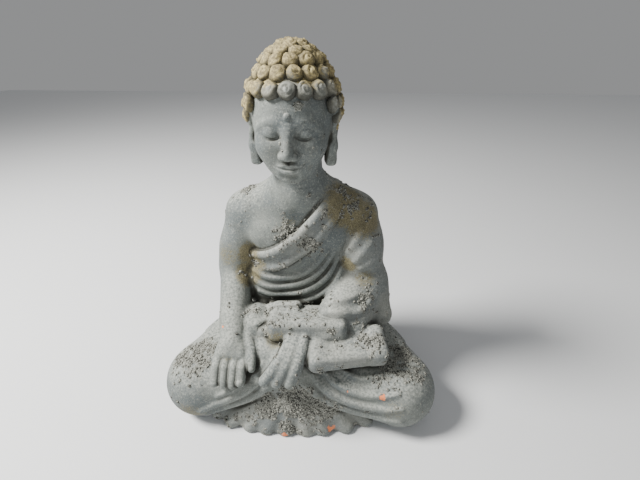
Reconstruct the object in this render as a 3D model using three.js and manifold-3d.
// A seated figure in the earth-touching pose, pressed in hollow terracotta shells and small solid
// sprigs that are luted together with slip and painted. Millimetres, +Z up, facing -Y, with its
// origin on the floor under the middle of its bounding box. Left and right are the figure's own:
// its right knee is on -X.
import * as THREE from 'three';
import { mergeVertices } from 'three/addons/utils/BufferGeometryUtils.js';
import Module from 'manifold-3d';

// ---- Driving dimensions -------------------------------------------------------------------
const HEIGHT = 400;         // floor to the top of the topknot
const KNEE_SPAN = 318;      // over both knees
const DEPTH = 179.5;        // hem of the skirt to the back of the hips
const WALL = 9;             // thickness of a pressed shell
const JOINT_GAP = 0.3;      // clearance left for slip between two luted pieces
const FOOT_HOLE_X = 58;     // half width of the opening in the foot ring
const FOOT_HOLE_Y = 54;     // half depth of the opening in the foot ring
const NECK_VENT_RADIUS = 12; // air way from the head into the torso
const ROBE_FOLDS = 3;       // hanging folds across the belly
const BROW_CURLS = 9;       // large curls along the hairline
const BIG = 600;            // side of a cutting block, larger than the figure

// ---- Places worked out from the driving dimensions ----------------------------------------
const KNEE_RADIUS = 41;
const KNEE_X = KNEE_SPAN / 2 - KNEE_RADIUS;
const BACK_Y = 88;
const FRONT_Y = BACK_Y - DEPTH;
const HIP_HALF_DEPTH = 50;
const HIP_Y = BACK_Y - HIP_HALF_DEPTH;
const WAIST_Z = 92;         // where the torso shells stand on the seat shell
const TORSO_Y = 42;         // plane of the seam between the torso's two shells
const NECK_Z = 272;         // where the head's collar stands on the torso
const HEAD = new THREE.Vector3(-4, 10, 346);
const HAIRLINE_Z = 362;
const TOPKNOT_RADIUS = 30;
const TOPKNOT_HEIGHT = 25;
const TOPKNOT_Z = HEIGHT - TOPKNOT_HEIGHT;

// ---- Solids -------------------------------------------------------------------------------
const wasm = await Module();
wasm.setup();

// A closed three.js geometry as a manifold-3d solid.
function solidOf(geometry) {
  const bare = geometry.index ? geometry.clone() : geometry;
  bare.deleteAttribute('normal');
  bare.deleteAttribute('uv');
  const merged = mergeVertices(bare, 1e-3);
  return new wasm.Manifold(new wasm.Mesh({
    numProp: 3,
    vertProperties: new Float32Array(merged.attributes.position.array),
    triVerts: new Uint32Array(merged.index.array),
  }));
}

// An ellipsoid.
function ball(x, y, z, rx, ry = rx, rz = rx, sides = 16) {
  const geometry = new THREE.SphereGeometry(1, sides, Math.round(sides / 2));
  geometry.rotateX(Math.PI / 2);
  return solidOf(geometry.scale(rx, ry, rz).translate(x, y, z));
}

// A tapered limb: two balls [x, y, z, radius] and the cone that touches both.
function limb(from, to, sides = 14) {
  const start = new THREE.Vector3(...from);
  const end = new THREE.Vector3(...to);
  const [startRadius, endRadius] = [from[3], to[3]];
  const length = start.distanceTo(end);
  const lean = Math.asin((startRadius - endRadius) / length);
  const steps = Math.max(2, Math.round(sides / 5));
  const profile = [];
  for (let i = 0; i <= steps; i++) {
    const turn = -Math.PI / 2 + (i / steps) * (Math.PI / 2 + lean);
    profile.push(new THREE.Vector2(startRadius * Math.cos(turn), startRadius * Math.sin(turn)));
  }
  for (let i = 0; i <= steps; i++) {
    const turn = lean + (i / steps) * (Math.PI / 2 - lean);
    profile.push(new THREE.Vector2(endRadius * Math.cos(turn), length + endRadius * Math.sin(turn)));
  }
  profile[0].x = 0;
  profile[profile.length - 1].x = 0;
  const geometry = new THREE.LatheGeometry(profile, sides);
  const up = new THREE.Vector3(0, 1, 0);
  const along = end.clone().sub(start).normalize();
  geometry.applyQuaternion(new THREE.Quaternion().setFromUnitVectors(up, along));
  return solidOf(geometry.translate(start.x, start.y, start.z));
}

// Limbs joined end to end through a list of points [x, y, z, radius], all grown by the same amount.
function chain(points, grow = 0, sides = 12) {
  const grown = points.map(([x, y, z, radius]) => [x, y, z, radius + grow]);
  return join(grown.slice(1).map((point, i) => limb(grown[i], point, sides)));
}

// A block between two corners.
function block(low, high) {
  const size = high.map((value, i) => value - low[i]);
  const centre = high.map((value, i) => (value + low[i]) / 2);
  return solidOf(new THREE.BoxGeometry(...size).translate(...centre));
}

// A flat outline with rounded edges, turned about Z, then tilted about X, then moved.
function slab(outline, thickness, edge, turn, tilt, place) {
  const geometry = new THREE.ExtrudeGeometry(outline, {
    depth: thickness - 2 * edge,
    bevelThickness: edge,
    bevelSize: edge,
    bevelOffset: -edge,
    bevelSegments: 2,
    curveSegments: 5,
  });
  geometry.translate(0, 0, -(thickness - 2 * edge) / 2);
  geometry.rotateZ(turn).rotateX(tilt).translate(...place);
  return solidOf(geometry);
}

// A rounded rectangle centred on the origin.
function roundedRectangle(width, height, radius) {
  const [x, y] = [width / 2 - radius, height / 2 - radius];
  const shape = new THREE.Shape();
  shape.absarc(x, y, radius, 0, Math.PI / 2);
  shape.absarc(-x, y, radius, Math.PI / 2, Math.PI);
  shape.absarc(-x, -y, radius, Math.PI, 1.5 * Math.PI);
  shape.absarc(x, -y, radius, 1.5 * Math.PI, 2 * Math.PI);
  shape.closePath();
  return shape;
}

function join(solids) {
  return solids.reduce((all, solid) => all.add(solid));
}

function cut(solid, ...tools) {
  return tools.reduce((left, tool) => left.subtract(tool), solid);
}

const degrees = THREE.MathUtils.degToRad;
const belowFloor = block([-BIG, -BIG, -BIG], [BIG, BIG, 0]);

// ---- Masses of the figure -----------------------------------------------------------------
// Each takes an amount to grow by: a shell's inside is the same mass grown by minus its wall,
// and a neighbour is cut by it grown by the joint gap.

// Hips, thighs and crossed shins.
function seatMass(grow = 0, sides = 14) {
  const g = (radius) => radius + grow;
  return join([
    ball(0, HIP_Y, 34, g(94), g(HIP_HALF_DEPTH), g(66), sides),
    ball(0, -6, 30, g(88), g(56), g(54), sides),
    limb([-62, 34, 50, g(46)], [-KNEE_X, -44, 38, g(KNEE_RADIUS)], sides),
    limb([62, 34, 50, g(46)], [KNEE_X, -44, 38, g(KNEE_RADIUS)], sides),
    limb([-KNEE_X + 2, -46, 39, g(39)], [-10, -46, 68, g(26)], sides),
    limb([KNEE_X - 2, -46, 39, g(39)], [10, -45, 58, g(27)], sides),
  ]);
}

// Belly, chest, shoulders and the slopes up to the neck.
function torsoMass(grow = 0, sides = 14) {
  const g = (radius) => radius + grow;
  const neckBase = [-2, TORSO_Y - 10, 258, g(28)];
  return join([
    ball(0, TORSO_Y + 2, 132, g(68), g(42), g(62), sides),
    ball(0, TORSO_Y, 198, g(69), g(39), g(62), sides),
    limb([-52, TORSO_Y, 223, g(28)], [50, TORSO_Y, 223, g(28)], sides - 4),
    limb(neckBase, [-44, TORSO_Y, 230, g(24)], sides - 4),
    limb(neckBase, [42, TORSO_Y, 230, g(24)], sides - 4),
  ]);
}

// Skull, cheeks, jaw and nose, and the neck down to its collar.
function headMass(grow = 0) {
  const g = (radius) => radius + grow;
  const [x, y, z] = HEAD;
  return join([
    ball(x, y + 8, z + 1, g(38), g(42), g(36), 18),
    ball(x, y - 7, z - 22, g(34), g(33), g(39), 18),
    ball(x, y - 17, z - 46, g(23), g(20), g(18), 12),
    limb([x, y - 36, z - 14, g(4)], [x, y - 45, z - 33, g(5)], 8),
    limb([x + 1, y + 10, z - 40, g(25)], [-2, TORSO_Y - 12, NECK_Z - 10, g(26)], 14),
  ]);
}

// Scalp over the crown, sides and nape.
function scalpMass(grow = 0) {
  const g = (radius) => radius + grow;
  const [x, y, z] = HEAD;
  return ball(x, y + 8, z, g(46), g(49), g(43), 16);
}

const rightArmLine = [[-64, TORSO_Y, 223, 27], [-81, 27, 156, 21], [-76, -22, 118, 17]];
const leftArmLine = [[60, TORSO_Y, 223, 27], [73, 30, 150, 24], [40, -20, 128, 19]];
const sleeveFallLine = [[76, 24, 140, 24], [90, 8, 110, 17]];

// ---- Pieces -------------------------------------------------------------------------------
const torsoWaist = block([-BIG, -BIG, -BIG], [BIG, BIG, WAIST_Z]);
const aboveNeck = block([-BIG, -BIG, NECK_Z], [BIG, BIG, BIG]);
const neckVent = limb([-2, TORSO_Y - 14, NECK_Z - 40, NECK_VENT_RADIUS],
  [HEAD.x, HEAD.y + 8, HEAD.z - 20, NECK_VENT_RADIUS], 12);

// Hollow seat that stands on a flat foot ring, open below and open above under the torso.
function seatShell() {
  const waistHole = ball(0, TORSO_Y + 2, 100, 50, 28, 60, 12);
  const footHole = solidOf(new THREE.CylinderGeometry(1, 1, 60, 24).rotateX(Math.PI / 2)
    .scale(FOOT_HOLE_X, FOOT_HOLE_Y, 1).translate(0, 14, 0));
  return cut(seatMass(), seatMass(-WALL, 10), waistHole, footHole, belowFloor);
}

// Rounded folds of the robe that hang in curves under its rolled edge, from arm to arm.
function robeFolds() {
  const folds = [];
  for (let i = 0; i < ROBE_FOLDS; i++) {
    const drop = 17 * i;
    folds.push(chain([[-50, 16, 160 - drop, 6], [-16, 4, 158 - drop, 6],
      [14, 6, 174 - drop, 6], [38, 16, 204 - drop, 6]], 0, 6));
  }
  return cut(join(folds), rightArmSolid(JOINT_GAP), leftArmSolid(JOINT_GAP), sashSolid(JOINT_GAP));
}

// Hollow torso, split at its sides into a front and a back shell.
function torsoShell(side) {
  const half = side === 'front'
    ? block([-BIG, -BIG, 0], [BIG, TORSO_Y - JOINT_GAP / 2, BIG])
    : block([-BIG, TORSO_Y + JOINT_GAP / 2, 0], [BIG, BIG, BIG]);
  const clothed = side === 'front' ? torsoMass().add(robeFolds()) : torsoMass();
  const hollow = torsoMass(-WALL, 10);
  return cut(clothed.intersect(half), hollow, seatMass(JOINT_GAP), torsoWaist, aboveNeck);
}

// Hollow head with its neck, open down the neck.
function headShell() {
  const belowCollar = block([-BIG, -BIG, -BIG], [BIG, BIG, NECK_Z + JOINT_GAP]);
  const hollow = ball(HEAD.x, HEAD.y + 2, HEAD.z - 6, 27, 30, 31, 12);
  return cut(headMass(), hollow, neckVent, belowCollar);
}

// Curled hair cap above a slanted hairline, with the row of large curls along the brow.
function hairCap() {
  const face = block([-BIG, -BIG, -BIG], [BIG, 0, 0]);
  const belowBrow = face.rotate([-10, 0, 0]).translate([0, HEAD.y - 4, HAIRLINE_Z]);
  const belowNape = block([-BIG, -BIG, -BIG], [BIG, BIG, HEAD.z - 38]);
  const cap = cut(scalpMass(), belowBrow, belowNape);
  const curls = [];
  for (let i = 0; i < BROW_CURLS; i++) {
    const turn = degrees(-80 + (160 * i) / (BROW_CURLS - 1));
    const [x, y] = [HEAD.x + 41 * Math.sin(turn), HEAD.y + 8 - 44 * Math.cos(turn)];
    curls.push(ball(x, y, HAIRLINE_Z + 2, 7, 6, 7, 8));
  }
  return cut(join([cap, ...curls]), headMass(JOINT_GAP), earSolid(-1, JOINT_GAP), earSolid(1, JOINT_GAP));
}

// Bun of curls that stands on the crown.
function topknot() {
  const bun = ball(HEAD.x + 1, HEAD.y + 10, TOPKNOT_Z, TOPKNOT_RADIUS, TOPKNOT_RADIUS, TOPKNOT_HEIGHT, 16);
  return cut(bun, scalpMass(JOINT_GAP), headMass(JOINT_GAP));
}

// A long ear with a stretched lobe, luted to the side of the head over the edge of the hair.
function earSolid(side, grow = 0) {
  const [x, y, z] = [HEAD.x + side * 40, HEAD.y + 5, HEAD.z];
  return join([
    ball(x + side, y, z - 15, 5 + grow, 11 + grow, 21 + grow, 10),
    chain([[x + side * 2, y, z - 24, 5], [x + side, y - 1, z - 48, 6]], grow, 8),
  ]);
}

function ear(side) {
  return cut(earSolid(side), headMass(JOINT_GAP));
}

// Small pellet between the brows.
function urna() {
  return cut(ball(HEAD.x, HEAD.y - 38, HEAD.z - 3, 3.4, 3.4, 3.4, 12), headMass(JOINT_GAP));
}

function rightArmSolid(grow = 0) {
  return chain(rightArmLine, grow, 14);
}

function rightArm() {
  return cut(rightArmSolid(), torsoMass(JOINT_GAP), seatMass(JOINT_GAP));
}

// Hand laid over the shin, fingertips down.
function rightHandSolid(grow = 0) {
  const FINGERS = 4;
  const parts = [chain([[-76, -24, 118, 16], [-72, -48, 103, 15]], grow, 8),
    chain([[-84, -52, 99, 7], [-60, -53, 100, 7.5]], grow, 8),
    chain([[-58, -40, 108, 7], [-48, -56, 101, 5.6], [-44, -73, 86, 4]], grow, 7)];
  for (let i = 0; i < FINGERS; i++) {
    const x = -85 + 9 * i;
    parts.push(chain([[x + 1, -57, 98, 6], [x, -74, 88, 5.2], [x, -83, 76, 4.8]], grow, 7));
  }
  return join(parts);
}

function rightHand() {
  return cut(rightHandSolid(), rightArmSolid(JOINT_GAP), seatMass(JOINT_GAP));
}

// Left arm under its sleeve, with the cloth that falls from the elbow to the thigh.
function leftArmSolid(grow = 0) {
  return join([chain(leftArmLine, grow, 14), chain(sleeveFallLine, grow, 10)]);
}

function leftArm() {
  return cut(leftArmSolid(), torsoMass(JOINT_GAP), seatMass(JOINT_GAP));
}

function leftPalm(grow = 0) {
  const outline = roundedRectangle(76 + 2 * grow, 36 + 2 * grow, 10);
  return slab(outline, 24 + 2 * grow, 7, degrees(3), degrees(-12), [2, -26, 116]);
}

// Left hand lying palm up in the lap, fingers curled down at their tips.
function leftHandSolid(grow = 0) {
  const FINGERS = 4;
  const thumb = chain([[10, -42, 116, 7], [32, -46, 121, 7], [54, -40, 124, 6]], grow, 7);
  const parts = [leftPalm(grow), thumb];
  for (let i = 0; i < FINGERS; i++) {
    const [y, z] = [-38 + 9.2 * i, 119 + 1.4 * i];
    parts.push(chain([[-12, y, z + 2, 6], [-36, y, z, 6], [-50, y, z - 13, 5.6]], grow, 7));
  }
  return join(parts);
}

function leftHand() {
  return cut(leftHandSolid(), leftArmSolid(JOINT_GAP), torsoMass(JOINT_GAP), seatMass(JOINT_GAP),
    rightFootSolid(JOINT_GAP), rightHandSolid(JOINT_GAP));
}

// Right foot laid sole up on the left thigh.
function rightFootSolid(grow = 0) {
  const outline = roundedRectangle(98 + 2 * grow, 38 + 2 * grow, 9);
  return slab(outline, 26 + 2 * grow, 8, degrees(12), degrees(16), [51, -50, 102]);
}

function rightFoot() {
  return cut(rightFootSolid(), leftArmSolid(JOINT_GAP), torsoMass(JOINT_GAP), seatMass(JOINT_GAP));
}

// Rolled hem of the robe, two parallel rolls with the cloth between them, from behind the left
// shoulder across the chest to the right armpit.
function sashSolid(grow = 0) {
  const upper = [[24, 79, 230, 5], [33, 62, 249, 5.5], [36, 40, 261, 6], [31, 18, 256, 6],
    [-6, -3, 211, 5.5], [-34, 1, 191, 5.5], [-64, 30, 180, 5]];
  const lower = [[38, 79, 224, 4.5], [46, 61, 241, 5], [49, 40, 251, 5.5], [43, 18, 244, 5.5],
    [3, 0, 196, 5.5], [-28, 3, 174, 5.5], [-62, 30, 161, 4.5]];
  const between = upper.map((point, i) => point.map((value, j) => (value + lower[i][j]) / 2));
  return join([upper, lower, between].map((line) => chain(line, grow, 6)));
}

function robeSash() {
  return cut(sashSolid(), torsoMass(JOINT_GAP), leftArmSolid(JOINT_GAP), headMass(JOINT_GAP),
    rightArmSolid(JOINT_GAP));
}

// End of the robe that hangs from the lap over the shins in three flat folds.
function robeTail() {
  const folds = [[-5, -23], [2, -13], [9, -3]].map(([top, low]) => chain([[top, -44, 119, 5.5],
    [top - 1, -62, 112, 6.5], [(top + low) / 2, -76, 98, 6.5], [low, -82, 82, 6.5]], 0, 7));
  return cut(join(folds), seatMass(JOINT_GAP), leftHandSolid(JOINT_GAP), rightFootSolid(JOINT_GAP));
}

// Pleated hem that spreads from under the shins over the floor.
function skirtFan() {
  const HEM_RADIUS = 9.5;
  const pleats = [[-96, 16], [-77, 6], [-54, 2], [-35, 0], [-13, 0], [11, 1], [31, 3], [57, 7], [80, 17]];
  const ridges = pleats.map(([x, back]) => {
    const y = FRONT_Y + HEM_RADIUS + back;
    return chain([[0.12 * x - 2, -62, 62, 5], [0.55 * x, 0.9 * y - 2, 34, 8], [x, y, 4, HEM_RADIUS]], 0, 7);
  });
  const sheet = ball(-2, -38, -14, 96, 48, 84, 20);
  return cut(join([sheet, ...ridges]), seatMass(JOINT_GAP), belowFloor);
}

// ---- Scene graph --------------------------------------------------------------------------
// A solid back as a three.js mesh. Slivers that a cut leaves beside the piece are dropped.
function meshOf(name, solid, material) {
  const bodies = solid.decompose();
  const body = bodies.reduce((a, b) => (a.volume() > b.volume() ? a : b));
  const { numProp, vertProperties, triVerts } = body.getMesh();
  const positions = new Float32Array((vertProperties.length / numProp) * 3);
  for (let i = 0; i < positions.length / 3; i++) {
    positions.set(vertProperties.subarray(i * numProp, i * numProp + 3), i * 3);
  }
  const geometry = new THREE.BufferGeometry();
  geometry.setAttribute('position', new THREE.BufferAttribute(positions, 3));
  geometry.setIndex(new THREE.BufferAttribute(new Uint32Array(triVerts), 1));
  geometry.computeVertexNormals();
  const mesh = new THREE.Mesh(geometry, material);
  mesh.name = name;
  return mesh;
}

const paint = (color, roughness) => new THREE.MeshStandardMaterial({ color, roughness, metalness: 0 });
const greyPaint = paint(0x8e9391, 0.85);
const mossyPaint = paint(0xa49b75, 0.95);
const grittyPaint = paint(0xa5a498, 0.95);

const figure = new THREE.Group();
figure.add(
  meshOf('seat_shell', seatShell(), greyPaint),
  meshOf('torso_front_shell', torsoShell('front'), greyPaint),
  meshOf('torso_back_shell', torsoShell('back'), greyPaint),
  meshOf('head_shell', headShell(), greyPaint),
  meshOf('hair_cap', hairCap(), mossyPaint),
  meshOf('topknot', topknot(), mossyPaint),
  meshOf('left_ear', ear(1), greyPaint),
  meshOf('right_ear', ear(-1), greyPaint),
  meshOf('brow_pellet', urna(), greyPaint),
  meshOf('right_arm', rightArm(), greyPaint),
  meshOf('right_hand', rightHand(), greyPaint),
  meshOf('left_arm_sleeve', leftArm(), grittyPaint),
  meshOf('left_hand', leftHand(), grittyPaint),
  meshOf('right_foot', rightFoot(), grittyPaint),
  meshOf('robe_sash', robeSash(), grittyPaint),
  meshOf('robe_tail', robeTail(), greyPaint),
  meshOf('skirt_fan', skirtFan(), grittyPaint),
);

// The origin goes to the floor under the middle of the bounding box.
const bounds = new THREE.Box3().setFromObject(figure);
const middle = bounds.getCenter(new THREE.Vector3());
figure.position.set(-middle.x, -middle.y, -bounds.min.z);

export default figure;
